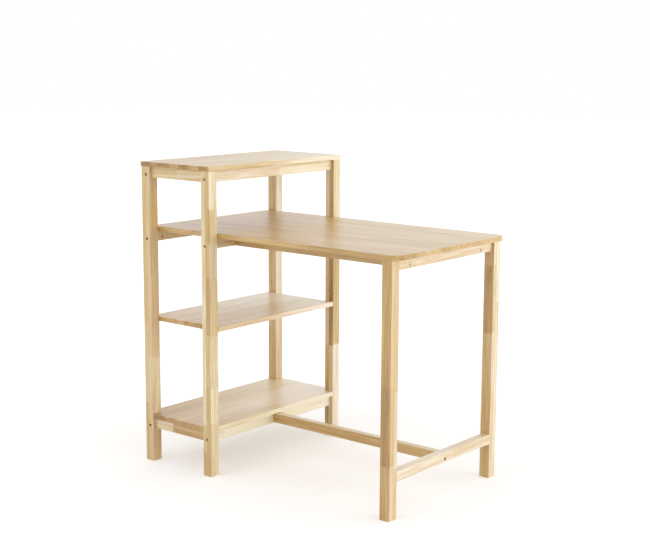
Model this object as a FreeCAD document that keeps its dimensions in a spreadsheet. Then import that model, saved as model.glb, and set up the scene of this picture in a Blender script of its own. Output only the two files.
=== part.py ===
import os
import re

import FreeCAD
import Part
import Sketcher

doc = FreeCAD.newDocument("kitchen_table")
sheet = doc.addObject("Spreadsheet::Sheet", "Sizes")

# Driving sizes in millimetres.
SIZES = (
    ("post_side", 34, "side of the square posts and legs"),
    ("unit_depth", 290, "shelf unit, back face to front face of its posts"),
    ("unit_width", 616, "shelf unit, over the outer faces of its posts"),
    ("table_height", 750, "floor to the table's working surface"),
    ("upper_bay", 153, "clear height between the table top and the top rails"),
    ("lower_bay", 294.5, "clear height between the bottom and middle shelves"),
    ("table_reach", 940, "back face of the posts to the outer face of the legs"),
    ("table_overhang", 21, "table top past the legs at the free end"),
    ("leg_inset", 3, "legs in from the table top's long edges"),
    ("board_thick", 15, "table top, top board and shelves"),
    ("top_overhang", 1.5, "top board past the posts on every side"),
    ("fit_gap", 0.8, "board edge to the post beside it"),
    ("rail_thick", 15, "rails, apron and bearers"),
    ("rail_inset", 12, "rails in from the posts' outer faces"),
    ("rail_height", 34, "top and bottom rails"),
    ("table_rail_height", 32, "table rails, apron and bearers"),
    ("apron_inset", 9, "apron in from the legs' outer faces"),
    ("bottom_rail_floor", 105.5, "floor to the underside of the bottom rails"),
    ("stretcher_rise", 3, "stretchers' underside above that of the bottom rails"),
    ("stretcher_height", 30, "both stretchers"),
    ("end_stretcher_thick", 27, "stretcher between the legs"),
    ("long_stretcher_thick", 23, "stretcher from the shelf unit to the legs"),
    ("bearer_inset", 97, "middle of a bearer from the table top's long edge"),
    ("corner_radius", 34, "table top corners at the free end"),
    ("table_edge_radius", 2.5, "rounding along the table top's edges"),
    ("board_edge_radius", 1.2, "rounding along the other boards' edges"),
    ("bar_edge_radius", 1.2, "rounding along posts, legs, rails and stretchers"),
    ("bolt_dia", 6, "connecting bolt shank"),
    ("bolt_clearance", 0.2, "round the shank"),
    ("head_dia", 9.5, "connecting bolt head"),
    ("head_height", 4, "connecting bolt head"),
    ("head_clearance", 0.25, "round the head in its recess"),
    ("head_sink", 3, "head below the face of a post or thick stretcher"),
    ("thin_sink", 1, "head below the face of a rail"),
    ("socket_dia", 4.6, "six-sided socket over its corners"),
    ("socket_depth", 2.4, "six-sided socket"),
    ("bolt_rise", 10, "bolt above the underside of what it holds"),
    ("bolt_past_nut", 8, "bolt tip past the middle of its nut"),
    ("bolt_end_gap", 1, "free hole ahead of the bolt tip"),
    ("nut_dia", 10, "barrel nut"),
    ("nut_length", 12, "barrel nut"),
    ("nut_clearance", 0.1, "round the barrel nut"),
    ("slot_width", 1.4, "screwdriver slot of the barrel nut"),
    ("slot_depth", 1.5, "screwdriver slot of the barrel nut"),
    ("thread_clearance", 0.05, "between bolt and nut"),
    ("nut_inset", 23, "barrel nut from the end of its rail"),
    ("dowel_dia", 6, "wooden dowel"),
    ("dowel_clearance", 0.1, "round the dowel"),
    ("dowel_end_gap", 0.5, "free hole ahead of the dowel"),
    ("dowel_wall", 2, "wood between a dowel and the bolt beside it"),
    ("dowel_drop", 9, "dowel below the top of its rail"),
    ("thin_dowel_share", 0.5, "share of a rail's thickness that a dowel enters"),
    ("pin_dia", 5, "shelf pin"),
    ("pin_depth", 9, "shelf pin inside the post"),
    ("pin_reach", 9, "shelf pin under the shelf"),
    ("pin_clearance", 0.1, "round the shelf pin"),
    ("pin_end_gap", 1, "free hole behind the shelf pin"),
    ("pin_inset", 15, "shelf pin from the post's outer face"),
    ("pin_step", 53, "from one pin hole to the next"),
    ("shelf_inset", 1, "bottom shelf in from the posts' outer faces at its ends"),
    ("notch_gap", 0.5, "bottom shelf round the posts"),
    ("screw_dia", 4, "wood screw"),
    ("screw_clearance", 0.15, "round the wood screw"),
    ("screw_head_dia", 8, "wood screw head"),
    ("screw_head_height", 3, "wood screw head"),
    ("cross_width", 1.2, "cross recess of the wood screw"),
    ("cross_length", 4.4, "cross recess of the wood screw"),
    ("cross_depth", 1.6, "cross recess of the wood screw"),
    ("screw_grip", 20, "wood under a screw head"),
    ("screw_bite", 9, "wood screw inside the board"),
    ("screw_end_gap", 0.5, "free hole ahead of the screw"),
    ("screw_share", 0.6, "place of a screw between a rail's middle and end"),
    ("overrun", 2, "cutting shapes past the faces they cut"),
)

# Places and lengths that follow from the driving sizes.
DERIVED = (
    ("back_x", "(top_overhang - table_reach - table_overhang) / 2"),
    ("front_x", "back_x + unit_depth"),
    ("leg_x", "back_x + table_reach"),
    ("outer_y", "unit_width / 2"),
    ("inner_y", "outer_y - post_side"),
    ("edge_y", "inner_y - fit_gap"),
    ("leg_y", "edge_y - leg_inset"),
    ("back_rail_x", "back_x + rail_inset + rail_thick / 2"),
    ("front_rail_x", "front_x - rail_inset - rail_thick / 2"),
    ("end_rail_y", "outer_y - rail_inset - rail_thick / 2"),
    ("bearer_y", "edge_y - bearer_inset"),
    ("apron_x", "leg_x - apron_inset - rail_thick / 2"),
    ("rail_face_x", "front_rail_x + rail_thick / 2"),
    ("apron_back_x", "apron_x - rail_thick / 2"),
    ("stretcher_back_x", "leg_x - end_stretcher_thick"),
    ("under_z", "table_height - board_thick"),
    ("top_rail_z", "table_height + upper_bay"),
    ("post_height", "top_rail_z + rail_height"),
    ("table_rail_z", "under_z - table_rail_height"),
    ("shelf_floor_z", "bottom_rail_floor + rail_height"),
    ("stretcher_floor", "bottom_rail_floor + stretcher_rise"),
    ("shelf_z", "shelf_floor_z + board_thick + lower_bay"),
    ("pin_height", "shelf_z - pin_dia / 2"),
    ("bolt_hole_r", "bolt_dia / 2 + bolt_clearance"),
    ("recess_r", "head_dia / 2 + head_clearance"),
    ("deep_seat", "head_height + head_sink"),
    ("thin_seat", "head_height + thin_sink"),
    ("bolt_hole_depth", "nut_inset + bolt_past_nut + bolt_end_gap"),
    ("nut_hole_r", "nut_dia / 2 + nut_clearance"),
    ("dowel_hole_r", "dowel_dia / 2 + dowel_clearance"),
    ("dowel_bite", "post_side - rail_inset - (rail_thick + bolt_dia) / 2 - dowel_wall"),
    ("thin_bite", "rail_thick * thin_dowel_share"),
    ("pin_hole_r", "pin_dia / 2 + pin_clearance"),
    ("pin_hole_depth", "pin_depth + pin_end_gap"),
    ("screw_hole_r", "screw_dia / 2 + screw_clearance"),
    ("screw_recess_r", "screw_head_dia / 2 + screw_clearance"),
)

for row, (alias, value, note) in enumerate(SIZES, start=1):
    sheet.set(f"A{row}", note)
    sheet.set(f"B{row}", str(value))
    sheet.setAlias(f"B{row}", alias)
for row, (alias, formula) in enumerate(DERIVED, start=len(SIZES) + 1):
    sheet.set(f"A{row}", alias.replace("_", " "))
    sheet.set(f"B{row}", "=" + formula)
    sheet.setAlias(f"B{row}", alias)
doc.recompute()

nodes = {}
AXES = {
    "+X": FreeCAD.Rotation(FreeCAD.Vector(0, 1, 0), 90),
    "-X": FreeCAD.Rotation(FreeCAD.Vector(0, 1, 0), -90),
    "+Y": FreeCAD.Rotation(FreeCAD.Vector(1, 0, 0), -90),
    "-Y": FreeCAD.Rotation(FreeCAD.Vector(1, 0, 0), 90),
    "+Z": FreeCAD.Rotation(),
}
OPPOSITE = {"+X": "-X", "-X": "+X", "+Y": "-Y", "-Y": "+Y"}


def bind(obj, prop, text):
    obj.setExpression(prop, re.sub(r"[a-z][a-z0-9_]*", r"Sizes.\g<0>", text))


def put(obj, at, axis="+Z"):
    obj.Placement = FreeCAD.Placement(FreeCAD.Vector(), AXES[axis])
    for name, text in zip("xyz", at):
        bind(obj, "Placement.Base." + name, text)


def along(at, axis, distance):
    place = list(at)
    index = "XYZ".index(axis[1])
    place[index] = f"({place[index]}) {axis[0]} ({distance})"
    return tuple(place)


def block(at, size):
    obj = doc.addObject("Part::Box", "block")
    for prop, text in zip(("Length", "Width", "Height"), size):
        bind(obj, prop, text)
    put(obj, at)
    return obj


def rod(at, axis, radius, length):
    obj = doc.addObject("Part::Cylinder", "rod")
    bind(obj, "Radius", radius)
    bind(obj, "Height", length)
    put(obj, at, axis)
    return obj


def hole(mouth, axis, radius, depth):
    return rod(along(mouth, OPPOSITE[axis], "overrun"), axis, radius, f"{depth} + overrun")


def slot(mouth, axis, run, length, width, depth):
    """A straight cut of that depth at the mouth, with its length along run."""
    size = dict.fromkeys("XYZ", width)
    size[run[1]] = length
    size[axis[1]] = f"{depth} + overrun"
    corner = mouth
    for letter in "XYZ":
        back = f"({size[letter]}) / 2"
        if letter == axis[1]:
            back = "overrun" if axis[0] == "+" else depth
        corner = along(corner, "-" + letter, back)
    return block(corner, tuple(size.values()))


def join(parts):
    obj = doc.addObject("Part::MultiFuse", "joined")
    obj.Shapes = parts
    return obj


def node(label, base, cutters=()):
    obj = base
    if cutters:
        obj = doc.addObject("Part::Cut", "piece")
        obj.Base = base
        obj.Tool = join(cutters) if len(cutters) > 1 else cutters[0]
    obj.Label = label
    nodes[label] = obj


def cluster(label, solids):
    obj = doc.addObject("Part::Compound", "cluster")
    obj.Links = solids
    obj.Label = label
    nodes[label] = obj


def edge_names(shape, wanted):
    return [f"Edge{n}" for n, edge in enumerate(shape.Edges, start=1) if wanted(edge)]


def runs_along(edge, axis):
    span = edge.Vertexes[-1].Point - edge.Vertexes[0].Point
    return abs(getattr(span, axis)) > span.Length / 2


def slab(at, size):
    """A rectangle in the floor plane, padded upwards."""
    body = doc.addObject("PartDesign::Body", "body")
    sketch = body.newObject("Sketcher::SketchObject", "outline")
    sketch.AttachmentSupport = [(body.Origin.OriginFeatures[3], "")]
    sketch.MapMode = "FlatFace"
    width, depth = sheet.get("post_side"), sheet.get("post_side")
    corners = [(0, 0), (width, 0), (width, depth), (0, depth)]
    for start, end in zip(corners, corners[1:] + corners[:1]):
        sketch.addGeometry(
            Part.LineSegment(FreeCAD.Vector(*start, 0), FreeCAD.Vector(*end, 0))
        )
    for line in range(4):
        sketch.addConstraint(Sketcher.Constraint("Coincident", line, 2, (line + 1) % 4, 1))
    for line, kind in enumerate(("Horizontal", "Vertical", "Horizontal", "Vertical")):
        sketch.addConstraint(Sketcher.Constraint(kind, line))
    sketch.addConstraint(Sketcher.Constraint("Coincident", 0, 1, -1, 1))
    wide = sketch.addConstraint(Sketcher.Constraint("DistanceX", 0, 1, 0, 2, width))
    deep = sketch.addConstraint(Sketcher.Constraint("DistanceY", 1, 1, 1, 2, depth))
    bind(sketch, f"Constraints[{wide}]", size[0])
    bind(sketch, f"Constraints[{deep}]", size[1])
    pad = body.newObject("PartDesign::Pad", "pad")
    pad.Profile = sketch
    bind(pad, "Length", size[2])
    put(body, at)
    doc.recompute()
    return body


def soften(body, wanted, radius):
    base = body.Tip
    fillet = body.newObject("PartDesign::Fillet", "rounding")
    fillet.Base = (base, edge_names(base.Shape, wanted))
    bind(fillet, "Radius", radius)
    doc.recompute()


def board(at, size):
    body = slab(at, size)
    soften(body, lambda edge: not runs_along(edge, "z"), "board_edge_radius")
    return body


def bar(at, size, axis):
    body = slab(at, size)
    soften(body, lambda edge: runs_along(edge, axis), "bar_edge_radius")
    return body


def pillar(at, height):
    return bar(at, ("post_side", "post_side", height), "z")


def bolt(seat, axis, length):
    head = rod(along(seat, OPPOSITE[axis], "head_height"), axis, "head_dia / 2", "head_height")
    shank = rod(seat, axis, "bolt_dia / 2", length)
    socket = doc.addObject("Part::Prism", "socket")
    bind(socket, "Circumradius", "socket_dia / 2")
    bind(socket, "Height", "socket_depth + overrun")
    put(socket, along(seat, OPPOSITE[axis], "head_height + overrun"), axis)
    obj = doc.addObject("Part::Cut", "bolt")
    obj.Base = join([head, shank])
    obj.Tool = socket
    return obj


def barrel_nut(middle, axis, bolt_axis):
    end = along(middle, OPPOSITE[axis], "nut_length / 2")
    thread = rod(
        along(middle, OPPOSITE[bolt_axis], "nut_dia"),
        bolt_axis,
        "bolt_dia / 2 + thread_clearance",
        "2 * nut_dia",
    )
    obj = doc.addObject("Part::Cut", "barrel_nut")
    obj.Base = rod(end, axis, "nut_dia / 2", "nut_length")
    obj.Tool = join([thread, slot(end, axis, bolt_axis, "2 * nut_dia", "slot_width", "slot_depth")])
    return obj


def screw(seat):
    under = along(seat, "-Z", "screw_head_height")
    head = rod(under, "+Z", "screw_head_dia / 2", "screw_head_height")
    obj = doc.addObject("Part::Cut", "screw")
    obj.Base = join([head, rod(seat, "+Z", "screw_dia / 2", "screw_grip + screw_bite")])
    obj.Tool = join(
        [slot(under, "+Z", run, "cross_length", "cross_width", "cross_depth") for run in ("+X", "+Y")]
    )
    return obj


holes = {}
bolts = {"frame": [], "bearer": [], "stretcher": []}
nuts = {"frame": [], "bearer": [], "stretcher": []}
dowels = {"rail": [], "end_rail": [], "leg": [], "bearer": [], "stretcher": []}
screws = {"top_board": [], "table_top": [], "bottom_shelf": []}


def drill(label, *cutters):
    holes.setdefault(label, []).extend(cutters)


def peg(kind, carrier, piece, at, axis, carrier_bite):
    """A dowel across a butt joint; the axis points from the carrier into the piece."""
    back = OPPOSITE[axis]
    drill(carrier, hole(at, back, "dowel_hole_r", f"{carrier_bite} + dowel_end_gap"))
    drill(piece, hole(at, axis, "dowel_hole_r", "dowel_bite + dowel_end_gap"))
    length = f"{carrier_bite} + dowel_bite"
    dowels[kind].append(rod(along(at, back, carrier_bite), axis, "dowel_dia / 2", length))


def pull(kind, carrier, piece, joint, axis, carrier_thick, seat, nut_axis, nut_wall):
    """A bolt through the carrier into a barrel nut that lies across the piece."""
    back = OPPOSITE[axis]
    face = along(joint, back, carrier_thick)
    drill(carrier, hole(face, axis, "recess_r", seat))
    drill(carrier, hole(face, axis, "bolt_hole_r", f"{carrier_thick} + overrun"))
    drill(piece, hole(joint, axis, "bolt_hole_r", "bolt_hole_depth"))
    middle = along(joint, axis, "nut_inset")
    mouth = along(middle, OPPOSITE[nut_axis], f"{nut_wall} / 2")
    drill(piece, hole(mouth, nut_axis, "nut_hole_r", f"{nut_wall} / 2 + nut_length / 2"))
    length = f"{carrier_thick} - {seat} + nut_inset + bolt_past_nut"
    bolts[kind].append(bolt(along(face, axis, seat), axis, length))
    nuts[kind].append(barrel_nut(middle, nut_axis, axis))


def fasten(kind, rail, x, y, under, top):
    """A screw from under a rail into the board that lies on it."""
    seat = (x, y, f"{top} - screw_grip")
    drill(rail, rod((x, y, f"{under} - overrun"), "+Z", "screw_recess_r", f"{top} - screw_grip - {under} + overrun"))
    drill(rail, rod(seat, "+Z", "screw_hole_r", "screw_grip + overrun"))
    drill(kind, rod((x, y, f"{top} - overrun"), "+Z", "screw_hole_r", "overrun + screw_bite + screw_end_gap"))
    screws[kind].append(screw(seat))


# Underside and top of the rails at each level.
LEVELS = {
    "top": ("top_rail_z", "post_height"),
    "table": ("table_rail_z", "under_z"),
    "bottom": ("bottom_rail_floor", "shelf_floor_z"),
}
DEPTHS = {"back": ("back_rail_x", "-X"), "front": ("front_rail_x", "+X")}
ENDS = {"near": ("-1", "+Y"), "far": ("1", "-Y")}

# Joints of the long rails with the posts.
for level, (under, top) in LEVELS.items():
    for place, (rail_x, nut_axis) in DEPTHS.items():
        rail = f"{level}_rail_{place}"
        for end, (side, axis) in ENDS.items():
            post = f"post_{place}_{end}"
            joint = (rail_x, f"{side} * inner_y", f"{under} + bolt_rise")
            pull("frame", post, rail, joint, axis, "post_side", "deep_seat", nut_axis, "rail_thick")
            joint = (rail_x, f"{side} * inner_y", f"{top} - dowel_drop")
            peg("rail", post, rail, joint, axis, "dowel_bite")

# Joints of the end rails with the posts.
for level in ("top", "bottom"):
    under, top = LEVELS[level]
    for end, (side, _) in ENDS.items():
        for place, joint_x, axis in (
            ("back", "back_x + post_side", "+X"),
            ("front", "front_x - post_side", "-X"),
        ):
            for joint_z in (f"{under} + bolt_rise", f"{top} - dowel_drop"):
                joint = (joint_x, f"{side} * end_rail_y", joint_z)
                peg("end_rail", f"post_{place}_{end}", f"{level}_rail_{end}", joint, axis, "dowel_bite")

# Holes and pins for the middle shelf.
pins = []
for place, pin_x in (("back", "back_x + pin_inset"), ("front", "front_x - pin_inset")):
    for end, (side, axis) in ENDS.items():
        post = f"post_{place}_{end}"
        for pin_z in ("pin_height - pin_step", "pin_height", "pin_height + pin_step"):
            drill(post, hole((pin_x, f"{side} * inner_y", pin_z), OPPOSITE[axis], "pin_hole_r", "pin_hole_depth"))
        foot = along((pin_x, f"{side} * inner_y", "pin_height"), OPPOSITE[axis], "pin_depth")
        pins.append(rod(foot, axis, "pin_dia / 2", "pin_depth + pin_reach"))

# Joints of the leg frame.
for end, (side, axis) in ENDS.items():
    leg = f"leg_{end}"
    joint_y = f"{side} * (leg_y - post_side)"
    for joint_z in ("table_rail_z + bolt_rise", "under_z - dowel_drop"):
        peg("leg", leg, "end_apron", ("apron_x", joint_y, joint_z), axis, "dowel_bite")
    for joint_z in ("stretcher_floor + bolt_rise", "stretcher_floor + stretcher_height - dowel_drop"):
        joint = ("leg_x - end_stretcher_thick / 2", joint_y, joint_z)
        peg("leg", leg, "end_stretcher", joint, axis, "dowel_bite")

# Joints of the bearers with the front table rail and the end apron.
for end, (side, nut_axis) in ENDS.items():
    bearer = f"bearer_{end}"
    for carrier, joint_x, axis in (
        ("table_rail_front", "rail_face_x", "+X"),
        ("end_apron", "apron_back_x", "-X"),
    ):
        joint = (joint_x, f"{side} * bearer_y", "table_rail_z + bolt_rise")
        pull("bearer", carrier, bearer, joint, axis, "rail_thick", "thin_seat", OPPOSITE[nut_axis], "rail_thick")
        joint = (joint_x, f"{side} * bearer_y", "under_z - dowel_drop")
        peg("bearer", carrier, bearer, joint, axis, "thin_bite")

# Joints of the long stretcher with the bottom front rail and the end stretcher.
for carrier, joint_x, axis, thick, seat, bite in (
    ("bottom_rail_front", "rail_face_x", "+X", "rail_thick", "thin_seat", "thin_bite"),
    ("end_stretcher", "stretcher_back_x", "-X", "end_stretcher_thick", "deep_seat", "dowel_bite"),
):
    joint = (joint_x, "0", "stretcher_floor + bolt_rise")
    pull("stretcher", carrier, "long_stretcher", joint, axis, thick, seat, "-Y", "long_stretcher_thick")
    joint = (joint_x, "0", "stretcher_floor + stretcher_height - dowel_drop")
    peg("stretcher", carrier, "long_stretcher", joint, axis, bite)

# Screws that hold the boards down.
for level, kind in (("top", "top_board"), ("bottom", "bottom_shelf")):
    for place, (rail_x, _) in DEPTHS.items():
        for side in ("-1", "1"):
            fasten(kind, f"{level}_rail_{place}", rail_x, f"{side} * inner_y * screw_share", *LEVELS[level])
    for end, (side, _) in ENDS.items():
        fasten(kind, f"{level}_rail_{end}", "back_x + unit_depth / 2", f"{side} * end_rail_y", *LEVELS[level])
for side in ("-1", "1"):
    fasten("table_top", "table_rail_back", "back_rail_x", f"{side} * inner_y * screw_share", *LEVELS["table"])
for end, (side, _) in ENDS.items():
    for way in ("-1", "1"):
        screw_x = f"(rail_face_x + apron_back_x) / 2 + {way} * (apron_back_x - rail_face_x) / 2 * screw_share"
        fasten("table_top", f"bearer_{end}", screw_x, f"{side} * bearer_y", *LEVELS["table"])

# Posts of the shelf unit.
for place, post_x in (("back", "back_x"), ("front", "front_x - post_side")):
    for end, post_y in (("near", "0 - outer_y"), ("far", "inner_y")):
        label = f"post_{place}_{end}"
        node(label, pillar((post_x, post_y, "0"), "post_height"), holes[label])

# Long rails and end rails of the shelf unit.
for level, (under, top) in LEVELS.items():
    for place, (rail_x, _) in DEPTHS.items():
        label = f"{level}_rail_{place}"
        at = (f"{rail_x} - rail_thick / 2", "0 - inner_y", under)
        node(label, bar(at, ("rail_thick", "2 * inner_y", f"{top} - {under}"), "y"), holes[label])
for level in ("top", "bottom"):
    for end, rail_y in (("near", "rail_inset - outer_y"), ("far", "outer_y - rail_inset - rail_thick")):
        label = f"{level}_rail_{end}"
        at = ("back_x + post_side", rail_y, LEVELS[level][0])
        node(label, bar(at, ("unit_depth - 2 * post_side", "rail_thick", "rail_height"), "x"), holes[label])

# Boards of the shelf unit.
node(
    "top_board",
    board(
        ("back_x - top_overhang", "0 - outer_y - top_overhang", "post_height"),
        ("unit_depth + 2 * top_overhang", "unit_width + 2 * top_overhang", "board_thick"),
    ),
    holes["top_board"],
)
node("middle_shelf", board(("back_x", "0 - edge_y", "shelf_z"), ("unit_depth", "2 * edge_y", "board_thick")))
notches = []
for notch_x in ("back_x - overrun", "front_x - post_side - notch_gap"):
    for notch_y in ("0 - outer_y - overrun", "inner_y - notch_gap"):
        notches.append(
            block(
                (notch_x, notch_y, "shelf_floor_z - overrun"),
                (
                    "post_side + notch_gap + overrun",
                    "post_side + notch_gap + overrun",
                    "board_thick + 2 * overrun",
                ),
            )
        )
node(
    "bottom_shelf",
    board(
        ("back_x", "shelf_inset - outer_y", "shelf_floor_z"),
        ("unit_depth", "unit_width - 2 * shelf_inset", "board_thick"),
    ),
    notches + holes["bottom_shelf"],
)
cluster("shelf_pins", pins)

# Table top with rounded corners at its free end.
table = slab(
    ("back_x", "0 - edge_y", "under_z"),
    ("table_reach + table_overhang", "2 * edge_y", "board_thick"),
)
middle_x = table.Tip.Shape.BoundBox.Center.x
soften(table, lambda edge: runs_along(edge, "z") and edge.CenterOfMass.x > middle_x, "corner_radius")
soften(table, lambda edge: not runs_along(edge, "z"), "table_edge_radius")
node("table_top", table, holes["table_top"])

# Legs, apron, stretchers and bearers of the table.
for end, leg_at in (("near", "0 - leg_y"), ("far", "leg_y - post_side")):
    label = f"leg_{end}"
    node(label, pillar(("leg_x - post_side", leg_at, "0"), "under_z"), holes[label])
span = "2 * (leg_y - post_side)"
node(
    "end_apron",
    bar(("apron_back_x", "post_side - leg_y", "table_rail_z"), ("rail_thick", span, "table_rail_height"), "y"),
    holes["end_apron"],
)
node(
    "end_stretcher",
    bar(
        ("stretcher_back_x", "post_side - leg_y", "stretcher_floor"),
        ("end_stretcher_thick", span, "stretcher_height"),
        "y",
    ),
    holes["end_stretcher"],
)
node(
    "long_stretcher",
    bar(
        ("rail_face_x", "0 - long_stretcher_thick / 2", "stretcher_floor"),
        ("stretcher_back_x - rail_face_x", "long_stretcher_thick", "stretcher_height"),
        "x",
    ),
    holes["long_stretcher"],
)
for end, (side, _) in ENDS.items():
    label = f"bearer_{end}"
    at = ("rail_face_x", f"{side} * bearer_y - rail_thick / 2", "table_rail_z")
    node(label, bar(at, ("apron_back_x - rail_face_x", "rail_thick", "table_rail_height"), "x"), holes[label])

# Fasteners, one node for each kind of joint.
for kind, solids in bolts.items():
    cluster(f"{kind}_bolts", solids)
for kind, solids in nuts.items():
    cluster(f"{kind}_barrel_nuts", solids)
for kind, solids in dowels.items():
    cluster(f"{kind}_dowels", solids)
for kind, solids in screws.items():
    cluster(f"{kind}_screws", solids)

doc.recompute()
for obj in doc.Objects:
    if "Invalid" in obj.State or "Error" in obj.State:
        raise RuntimeError(f"{obj.Label} did not build: {obj.State}")
for label, obj in nodes.items():
    if obj.Shape.isNull() or not obj.Shape.isValid():
        raise RuntimeError(f"{label} has no valid shape")

os.makedirs("parts", exist_ok=True)
for label, obj in nodes.items():
    obj.Shape.exportStep(f"parts/{label}.step")
print(len(nodes), "nodes written")
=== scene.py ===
"""Looks of the kitchen table with its open shelf unit: wood, steel, light and camera."""
from math import radians

import bpy
from mathutils import Matrix, Vector


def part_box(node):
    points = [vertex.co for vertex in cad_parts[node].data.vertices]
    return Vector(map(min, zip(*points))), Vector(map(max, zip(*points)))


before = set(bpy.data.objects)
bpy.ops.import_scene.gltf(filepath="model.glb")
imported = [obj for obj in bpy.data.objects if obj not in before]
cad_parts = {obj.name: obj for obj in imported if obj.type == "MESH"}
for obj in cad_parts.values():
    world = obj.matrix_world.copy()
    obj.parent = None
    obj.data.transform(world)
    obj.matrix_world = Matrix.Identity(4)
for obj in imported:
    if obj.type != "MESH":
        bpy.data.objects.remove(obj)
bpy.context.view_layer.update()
AXES = "xyz"

# Clear-lacquered rubberwood by tone, from the brown of pores and end grain to the palest
# stave: the straw-coloured blocks and the pinker ones.
WOOD_COLOURS = {
    0.0: ("#946a2c", "#956832"),
    0.25: ("#b7904b", "#b98c51"),
    0.5: ("#d1b06c", "#d2ac71"),
    0.75: ("#dec997", "#dfc59c"),
    1.0: ("#f8ecce", "#f8e9d3"),
}

# How far a block's tone strays from the tone of its bar, or of its stave in a board.
BAR_SPREAD = 0.05
BOARD_SPREAD = 0.1

# Tones that are taken off at glue lines and at end grain, or added at rubbed edges.
# A pair is the least and the most.
SEAM_SHADE = 0.1
END_SHADE = (0.1, 0.34)
WEAR_SHADE = (0.02, 0.14)

# Blocks of a stave, their finger joints, glue lines and rubbed edges, in metres.
BLOCK_LENGTH = 0.47
FINGER_PITCH = 0.002
FINGER_SLOPE = 4.5
SEAM_WIDTH = 0.0004
WEAR_WIDTH = 0.0022

# Figure of the wood: noise cells per metre along the grain and across it, and octaves.
BANDS = (1.7, 34, 2)
STREAKS = (8, 190, 3)
PORES = (120, 1900, 1)
# How far each of them shifts the tone.
BAND_SHADE = 0.12
STREAK_SHADE = 0.14
PORE_SHADE = 0.16
# Noise cells within which each block gets another part of the figure.
FIGURE_SHIFT = 40
# Noise that spans the full effect, for pores only its peaks.
NOISE_SPAN = (0.3, 0.7)
PORE_SPAN = (0.6, 0.72)

# How squarely a face looks along an axis, where it starts to count and where it fully does.
FLAT_AND_LIT_FACING = (0.6, 0.8)
END_FACING = (0.7, 0.95)

# Satin lacquer: roughness from dark streaks to pale ones, more of it on end grain and less
# on rubbed edges. The wood under it is slightly uneven, in metres.
WOOD_ROUGHNESS = (0.38, 0.48)
END_ROUGHNESS = 0.12
WEAR_ROUGHNESS = -0.05
COAT_ROUGHNESS = 0.32
STREAK_RELIEF = 0.35
PORE_RELIEF = -0.6
WOOD_RELIEF = {"Strength": 0.25, "Distance": 0.0004}

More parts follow.
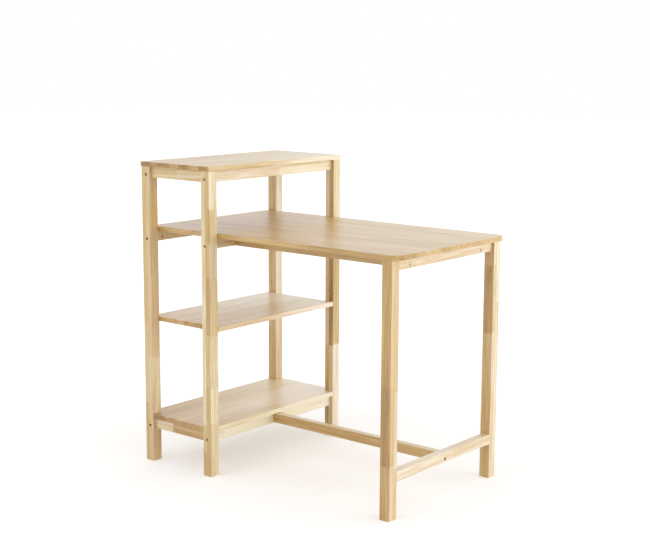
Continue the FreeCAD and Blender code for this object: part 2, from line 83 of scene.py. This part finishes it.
# Wooden pieces. A tone is a place in WOOD_COLOURS.
# grain, across: directions of the grain and across the staves
# tone, last: tones of the first stave and the last
# drift: how much paler the wood gets along the grain
# blocks: instead of a tone, the blocks of each stave, as (where the block starts, tone)
# flat_sawn: direction of the faces made paler, and how much paler they are; partly flat-sawn
# figure, partly painted light for the side that the lamps light
# ends: tones taken off at end grain, if not END_SHADE
WOODS = {
    # Darker towards the shelf unit, partly the wood and partly painted shade and dimmer
    # reflection under the top board.
    "table_top": dict(
        grain="x", across="y", staves=13, tone=0.4, last=0.6, drift=0.1, ends=(0.0, 0.22)
    ),
    "top_board": dict(
        grain="y", across="x", staves=7, tone=0.5, last=0.65, drift=0.34, flat_sawn=("x", 0.13)
    ),
    # Its near end is darker, partly the wood and partly painted shade of the dishes on it.
    "middle_shelf": dict(grain="y", across="x", staves=6, tone=0.75, last=0.8, drift=0.5),
    # Its near end and back staves are darker, partly the wood and partly painted shade of the
    # things that stand on and above it.
    "bottom_shelf": dict(
        grain="y", across="x", staves=7, tone=0.55, last=0.9, drift=0.7, flat_sawn=("x", 0.24)
    ),
    "post_back_near": dict(
        grain="z",
        across="x",
        blocks=(
            ((0, 0.55), (0.2, 0.65), (0.47, 0.55)),
            ((0, 0.6), (0.14, 0.75), (0.36, 0.65), (0.64, 0.55)),
        ),
    ),
    "post_front_near": dict(
        grain="z",
        across="x",
        blocks=(
            ((0, 0.5), (0.08, 0.65), (0.17, 0.85), (0.42, 0.75)),
            (
                (0, 0.5),
                (0.18, 0.55),
                (0.3, 0.45),
                (0.47, 0.35),
                (0.66, 0.45),
                (0.77, 0.35),
                (0.88, 0.5),
            ),
        ),
        flat_sawn=("x", 0.33),
    ),
    "post_back_far": dict(
        grain="z",
        across="x",
        blocks=(
            ((0, 0.42), (0.37, 0.5), (0.78, 0.65)),
            ((0, 0.4), (0.45, 0.55)),
        ),
        flat_sawn=("x", 0.3),
    ),
    "post_front_far": dict(
        grain="z",
        across="x",
        blocks=(
            # The top block of the back stave is made pale as painted light, lifting the shade it
            # lies in under the top board.
            ((0, 0.4), (0.34, 0.7), (0.72, 1.0)),
            ((0, 0.65), (0.34, 0.15), (0.72, 0.5)),
        ),
        flat_sawn=("x", 0.3),
    ),
    "leg_near": dict(
        grain="z",
        across="y",
        blocks=(
            ((0, 0.4), (0.215, 0.2), (0.525, 0.35)),
            ((0, 0.35), (0.2, 0.45), (0.5, 0.3)),
        ),
        flat_sawn=("x", 0.3),
    ),
    "leg_far": dict(
        grain="z",
        across="y",
        blocks=(
            ((0, 0.55), (0.62, 0.4), (0.78, 0.3), (0.9, 0.5)),
            ((0, 0.6), (0.28, 0.5), (0.6, 0.4), (0.74, 0.55)),
        ),
        flat_sawn=("x", 0.3),
    ),
    "top_rail_back": dict(grain="y", tone=0.6),
    "top_rail_front": dict(grain="y", blocks=(((0, 0.93), (0.55, 0.88)),)),
    "top_rail_near": dict(grain="x", tone=0.65),
    "top_rail_far": dict(grain="x", tone=0.6),
    "table_rail_back": dict(grain="y", tone=0.55),
    "table_rail_front": dict(grain="y", tone=0.6),
    "bottom_rail_back": dict(grain="y", tone=0.6),
    # The front bottom rail is as pale as the wood goes, as painted light for the side light that
    # falls on it.
    "bottom_rail_front": dict(grain="y", tone=1.1),
    "bottom_rail_near": dict(grain="x", blocks=(((0, 0.75), (0.35, 0.4)),)),
    "bottom_rail_far": dict(grain="x", tone=0.6),
    "end_apron": dict(grain="y", tone=0.75),
    "end_stretcher": dict(grain="y", tone=0.85),
    "long_stretcher": dict(grain="x", tone=0.4, flat_sawn=("z", 0.4)),
    "bearer_near": dict(grain="x", tone=0.4),
    "bearer_far": dict(grain="x", tone=0.55),
    "rail_dowels": dict(grain="y", tone=0.8),
    "end_rail_dowels": dict(grain="x", tone=0.8),
    "leg_dowels": dict(grain="y", tone=0.8),
    "bearer_dowels": dict(grain="x", tone=0.8),
    "stretcher_dowels": dict(grain="x", tone=0.8),
}

# Plated steel: its colours and roughness from dull patches to bright ones, and its fine
# relief in metres.
YELLOW_ZINC = ("#9a8560", "#bfa97d")
NICKEL = ("#c2c0bb", "#e4e1dc")
STEEL_ROUGHNESS = (0.5, 0.28)
STEEL_RELIEF = {"Strength": 0.2, "Distance": 0.0001}
# Noise cells per metre of turning marks, round the axis and along it, and of dull patches,
# then octaves and their shares in the tone.
MARKS_ROUND, MARKS_ALONG, MARKS_OCTAVES, MARKS_SHARE = 700, 5200, 2, 0.35
DULL_CELLS, DULL_OCTAVES, DULL_SHARE = 240, 3, 0.65

# Direction that the parts of each group of fasteners point along, and their plating.
STEELS = {
    "frame_bolts": ("y", YELLOW_ZINC),
    # The bearer bolts get the paler nickel as painted light: they are the same bolts as the
    # others, lit in shallower recesses.
    "bearer_bolts": ("x", NICKEL),
    "stretcher_bolts": ("x", YELLOW_ZINC),
    "frame_barrel_nuts": ("x", YELLOW_ZINC),
    "bearer_barrel_nuts": ("y", YELLOW_ZINC),
    "stretcher_barrel_nuts": ("y", YELLOW_ZINC),
    "top_board_screws": ("z", YELLOW_ZINC),
    "table_top_screws": ("z", YELLOW_ZINC),
    "bottom_shelf_screws": ("z", YELLOW_ZINC),
    "shelf_pins": ("y", NICKEL),
}


def linear(colour):
    """The scene's own colour for a colour written as #rrggbb."""
    parts = [int(colour[at:at + 2], 16) / 255 for at in (1, 3, 5)]
    return [c / 12.92 if c <= 0.04045 else ((c + 0.055) / 1.055) ** 2.4 for c in parts] + [1]


class Paint:
    """A material, with short calls that add shader nodes and join them."""

    def __init__(self, name):
        self.material = bpy.data.materials.new(name)
        self.material.use_nodes = True
        self.tree = self.material.node_tree
        self.shader = self.tree.nodes["Principled BSDF"]

    def feed(self, socket, value):
        if isinstance(value, bpy.types.NodeSocket):
            self.tree.links.new(value, socket)
        else:
            socket.default_value = value

    def shade(self, **inputs):
        """Sets the shader's inputs, written with _ for a space."""
        for key, value in inputs.items():
            self.feed(self.shader.inputs[key.replace("_", " ")], value)

    def add(self, kind, inputs=(), **settings):
        node = self.tree.nodes.new("ShaderNode" + kind)
        for key, value in settings.items():
            setattr(node, key, value)
        for key, value in dict(inputs).items():
            self.feed(node.inputs[key], value)
        return node

    def math(self, operation, *values):
        return self.add("Math", enumerate(values), operation=operation).outputs[0]

    def vector(self, operation, *values):
        return self.add("VectorMath", enumerate(values), operation=operation).outputs[0]

    def split(self, vector):
        return self.add("SeparateXYZ", {0: vector}).outputs

    def spread(self, value, start, end, first=0.0, last=1.0, curve="LINEAR"):
        """first at start and before, last at end and after."""
        inputs = enumerate((value, start, end, first, last))
        return self.add("MapRange", inputs, interpolation_type=curve).outputs[0]

    def noise(self, spot, octaves):
        return self.add("TexNoise", {"Vector": spot, "Scale": 1, "Detail": octaves}).outputs[0]

    def chance(self, *key):
        """A random number and a random colour for each key of up to three numbers."""
        key = self.add("CombineXYZ", enumerate(key)).outputs[0]
        return self.add("TexWhiteNoise", {"Vector": key}).outputs

    def ramp(self, value, stops, curve="LINEAR"):
        """A colour that changes from stop to stop: (where it is, colour)."""
        node = self.add("ValToRGB", {0: value})
        node.color_ramp.interpolation = curve
        marks = node.color_ramp.elements
        while len(marks) < len(stops):
            marks.new(0.5)
        for mark, (at, colour) in zip(marks, stops):
            mark.position, mark.color = at, colour
        return node.outputs[0]

    def steps(self, value, stops):
        """A number that changes at each stop: (where it starts, number)."""
        greys = [(at, (number, number, number, 1)) for at, number in stops]
        return self.ramp(value, greys, "CONSTANT")

    def sum(self, *values):
        total = values[0]
        for value in values[1:]:
            total = self.math("ADD", total, value)
        return total

    def bump(self, height, relief):
        return self.add("Bump", {"Height": height, **relief}).outputs[0]


def wood(
    name,
    seed,
    grain,
    across="z",
    staves=1,
    tone=None,
    last=None,
    drift=None,
    blocks=(),
    flat_sawn=None,
    ends=END_SHADE,
):
    """Glued and finger-jointed staves under a satin lacquer."""
    low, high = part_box(name)
    along, side = AXES.index(grain), AXES.index(across)
    depth = 3 - along - side
    staves = len(blocks) or staves
    paint = Paint(name + "_wood")
    coords = paint.add("TexCoord").outputs
    spot = paint.split(coords["Object"])
    tones = []

    stave = 0
    if staves > 1:
        half = (high[side] - low[side]) / staves / 2
        over = paint.spread(spot[side], low[side] + half, high[side] - half, 0.5, staves - 0.5)
        stave = paint.math("FLOOR", over)
        to_seam = paint.math("PINGPONG", over, 0.5)
        tones.append(paint.spread(to_seam, 0, SEAM_WIDTH / half / 2, -SEAM_SHADE, 0))

    # Finger joints zigzag through the depth of a stave.
    fingers = paint.math("PINGPONG", spot[depth], FINGER_PITCH)
    start = paint.math("SUBTRACT", spot[along], low[along])
    from_end = paint.math("MULTIPLY_ADD", fingers, FINGER_SLOPE, start)
    share = paint.math("DIVIDE", from_end, high[along] - low[along])
    if blocks:
        each = [paint.steps(share, stops) for stops in blocks]
        block = each[0]
        if staves > 1:
            block = paint.add("Mix", {0: stave, 2: each[0], 3: each[1]}).outputs[0]
        tones.append(block)
        chance = paint.chance(stave, block, seed)
    else:
        lengths = paint.math("DIVIDE", from_end, BLOCK_LENGTH)
        block = paint.math("FLOOR", paint.math("ADD", lengths, paint.chance(stave, seed)[0]))
        chance = paint.chance(stave, block, seed)
        stray = BOARD_SPREAD if staves > 1 else BAR_SPREAD
        tones.append(paint.spread(chance[0], 0, 1, tone - stray, tone + stray))
    if last is not None:
        tones.append(paint.spread(stave, 0, staves - 1, 0, last - tone))
    if drift is not None:
        tones.append(paint.spread(share, 0, 1, -drift / 2, drift / 2))
    pinkness, end_shade, _ = paint.split(chance[1])

    facing = paint.split(paint.vector("ABSOLUTE", coords["Normal"]))
    # Faces along one axis are paler: partly flat-sawn figure, partly painted light on the side
    # that the lamps light.
    if flat_sawn:
        face, paler = flat_sawn
        look = facing[AXES.index(face)]
        tones.append(paint.spread(look, *FLAT_AND_LIT_FACING, 0, paler, "SMOOTHSTEP"))
    end = paint.spread(facing[along], *END_FACING, curve="SMOOTHSTEP")
    least, most = ends
    tones.append(paint.math("MULTIPLY", end, paint.spread(end_shade, 0, 1, -most, -least)))

    inputs = {0: chance[1], "Scale": FIGURE_SHIFT}
    shift = paint.add("VectorMath", inputs, operation="SCALE").outputs[0]

    def figure(lengthwise, crosswise, octaves):
        scale = [crosswise] * 3
        scale[along] = lengthwise
        return paint.noise(paint.vector("MULTIPLY_ADD", coords["Object"], scale, shift), octaves)

    bands = paint.spread(figure(*BANDS), *NOISE_SPAN, -1, 1)
    streaks = paint.spread(figure(*STREAKS), *NOISE_SPAN, -1, 1)
    pores = paint.spread(figure(*PORES), *PORE_SPAN, curve="SMOOTHSTEP")
    tones.append(paint.math("MULTIPLY", bands, BAND_SHADE))
    tones.append(paint.math("MULTIPLY", streaks, STREAK_SHADE))
    tones.append(paint.math("MULTIPLY", pores, -PORE_SHADE))

    # The middle one of the distances to the sides of the piece's box is that to an edge.
    below = paint.vector("SUBTRACT", coords["Object"], low)
    above = paint.vector("SUBTRACT", high, coords["Object"])
    a, b, c = paint.split(paint.vector("MINIMUM", below, above))
    nearer, farther = paint.math("MINIMUM", a, b), paint.math("MAXIMUM", a, b)
    to_edge = paint.math("MAXIMUM", nearer, paint.math("MINIMUM", farther, c))
    edge = paint.spread(to_edge, 0, WEAR_WIDTH, 1, 0, "SMOOTHSTEP")
    tones.append(paint.math("MULTIPLY", edge, paint.spread(streaks, -1, 1, *WEAR_SHADE)))

    total = paint.sum(*tones)
    straw, pink = (
        paint.ramp(total, [(at, linear(pair[which])) for at, pair in WOOD_COLOURS.items()])
        for which in (0, 1)
    )
    colour = paint.add("Mix", {0: pinkness, 6: straw, 7: pink}, data_type="RGBA").outputs[2]
    roughness = paint.sum(
        paint.spread(streaks, -1, 1, *WOOD_ROUGHNESS),
        paint.math("MULTIPLY", end, END_ROUGHNESS),
        paint.math("MULTIPLY", edge, WEAR_ROUGHNESS),
    )
    height = paint.sum(
        paint.math("MULTIPLY", streaks, STREAK_RELIEF),
        paint.math("MULTIPLY", pores, PORE_RELIEF),
    )
    paint.shade(
        Base_Color=colour,
        Roughness=roughness,
        Normal=paint.bump(height, WOOD_RELIEF),
        Coat_Weight=1,
        Coat_Roughness=COAT_ROUGHNESS,
    )
    return paint.material


def steel(name, axis, tints):
    """Plated steel with fine turning marks round its axis and dull patches."""
    paint = Paint(name + "_steel")
    spot = paint.add("TexCoord").outputs["Object"]
    scale = [MARKS_ROUND] * 3
    scale[AXES.index(axis)] = MARKS_ALONG
    marks = paint.noise(paint.vector("MULTIPLY", spot, scale), MARKS_OCTAVES)
    dull = paint.noise(paint.vector("MULTIPLY", spot, [DULL_CELLS] * 3), DULL_OCTAVES)
    tone = paint.sum(
        paint.math("MULTIPLY", marks, MARKS_SHARE),
        paint.math("MULTIPLY", dull, DULL_SHARE),
    )
    paint.shade(
        Base_Color=paint.ramp(tone, list(zip(NOISE_SPAN, map(linear, tints)))),
        Roughness=paint.spread(tone, *NOISE_SPAN, *STEEL_ROUGHNESS),
        Normal=paint.bump(marks, STEEL_RELIEF),
        Metallic=1,
    )
    return paint.material


def wear(name, material):
    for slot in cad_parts[name].material_slots:
        slot.material = material


for seed, (name, facts) in enumerate(WOODS.items()):
    wear(name, wood(name, seed, **facts))
for name, facts in STEELS.items():
    wear(name, steel(name, *facts))

# Surroundings that are white to the camera and in reflections, and give a softer light.
WHITE = (1, 1, 1, 1)
AMBIENT = 0.8
FLOOR_SIZE = 40.0
FLOOR_ALBEDO = 0.85
FLOOR_ROUGHNESS = 0.9
# Glow of the floor as it is seen, by distance from the middle of the table.
FLOOR_GLOW = {0.7: 0.32, 2.4: 0.52}


def seen(tree):
    """1 for camera, mirror and see-through rays, else 0."""
    path = tree.nodes.new("ShaderNodeLightPath").outputs
    total = path["Is Camera Ray"]
    for ray in ("Is Glossy Ray", "Is Transmission Ray"):
        both = tree.nodes.new("ShaderNodeMath")
        both.operation = "MAXIMUM"
        tree.links.new(total, both.inputs[0])
        tree.links.new(path[ray], both.inputs[1])
        total = both.outputs[0]
    return total


scene = bpy.context.scene
scene.view_settings.view_transform = "Standard"
scene.world = bpy.data.worlds.new("white_room")
scene.world.use_nodes = True
air = scene.world.node_tree
level = air.nodes.new("ShaderNodeMapRange")
air.links.new(seen(air), level.inputs["Value"])
level.inputs["To Min"].default_value = AMBIENT
level.inputs["To Max"].default_value = 1.0
backdrop = air.nodes["Background"]
backdrop.inputs["Color"].default_value = WHITE
air.links.new(level.outputs[0], backdrop.inputs["Strength"])

bpy.ops.mesh.primitive_plane_add(size=FLOOR_SIZE)
floor = bpy.context.object
floor.name = "floor"
ground = Paint("floor_paint")
coords = ground.add("TexCoord").outputs["Object"]
reach = ground.add("VectorMath", {0: coords}, operation="LENGTH").outputs["Value"]
(near, near_glow), (far, far_glow) = FLOOR_GLOW.items()
glow = ground.spread(reach, near, far, near_glow, far_glow)
ground.shade(
    Base_Color=(FLOOR_ALBEDO, FLOOR_ALBEDO, FLOOR_ALBEDO, 1),
    Roughness=FLOOR_ROUGHNESS,
    Specular_IOR_Level=0,
    Emission_Color=WHITE,
    Emission_Strength=ground.math("MULTIPLY", seen(ground.tree), glow),
)
floor.data.materials.append(ground.material)

# Soft lamps, not seen in the lacquer: place, width, height and power.
LAMP_AIM = (0, 0, 0.5)
LAMPS = {
    "window": ((8.6, 3.4, 1.7), 8.4, 4.2, 365),
    "fill": ((-0.6, -3.4, 1.9), 2.4, 2.4, 18),
}
for name, (place, width, height, power) in LAMPS.items():
    lamp = bpy.data.lights.new(name, "AREA")
    lamp.shape = "RECTANGLE"
    lamp.size, lamp.size_y, lamp.energy = width, height, power
    holder = bpy.data.objects.new(name, lamp)
    holder.location = place
    aim = Vector(LAMP_AIM) - Vector(place)
    holder.rotation_euler = aim.to_track_quat("-Z", "Y").to_euler()
    holder.visible_camera = holder.visible_glossy = False
    scene.collection.objects.link(holder)

# Camera as in the photograph: place in metres, angles in degrees, lens in millimetres.
CAMERA_PLACE = (2.5729, -3.102, 1.2988)
CAMERA_TURN = 39.651
CAMERA_DIP = 9.709
CAMERA_TILT = 0.248
CAMERA_LENS = 73.73
CAMERA_SENSOR = 36
lens = bpy.data.cameras.new("camera")
lens.sensor_width = CAMERA_SENSOR
lens.lens = CAMERA_LENS
camera = bpy.data.objects.new("camera", lens)
camera.matrix_world = (
    Matrix.Translation(CAMERA_PLACE)
    @ Matrix.Rotation(radians(CAMERA_TURN), 4, "Z")
    @ Matrix.Rotation(radians(90 - CAMERA_DIP), 4, "X")
    @ Matrix.Rotation(radians(CAMERA_TILT), 4, "Z")
)
scene.collection.objects.link(camera)
scene.camera = camera
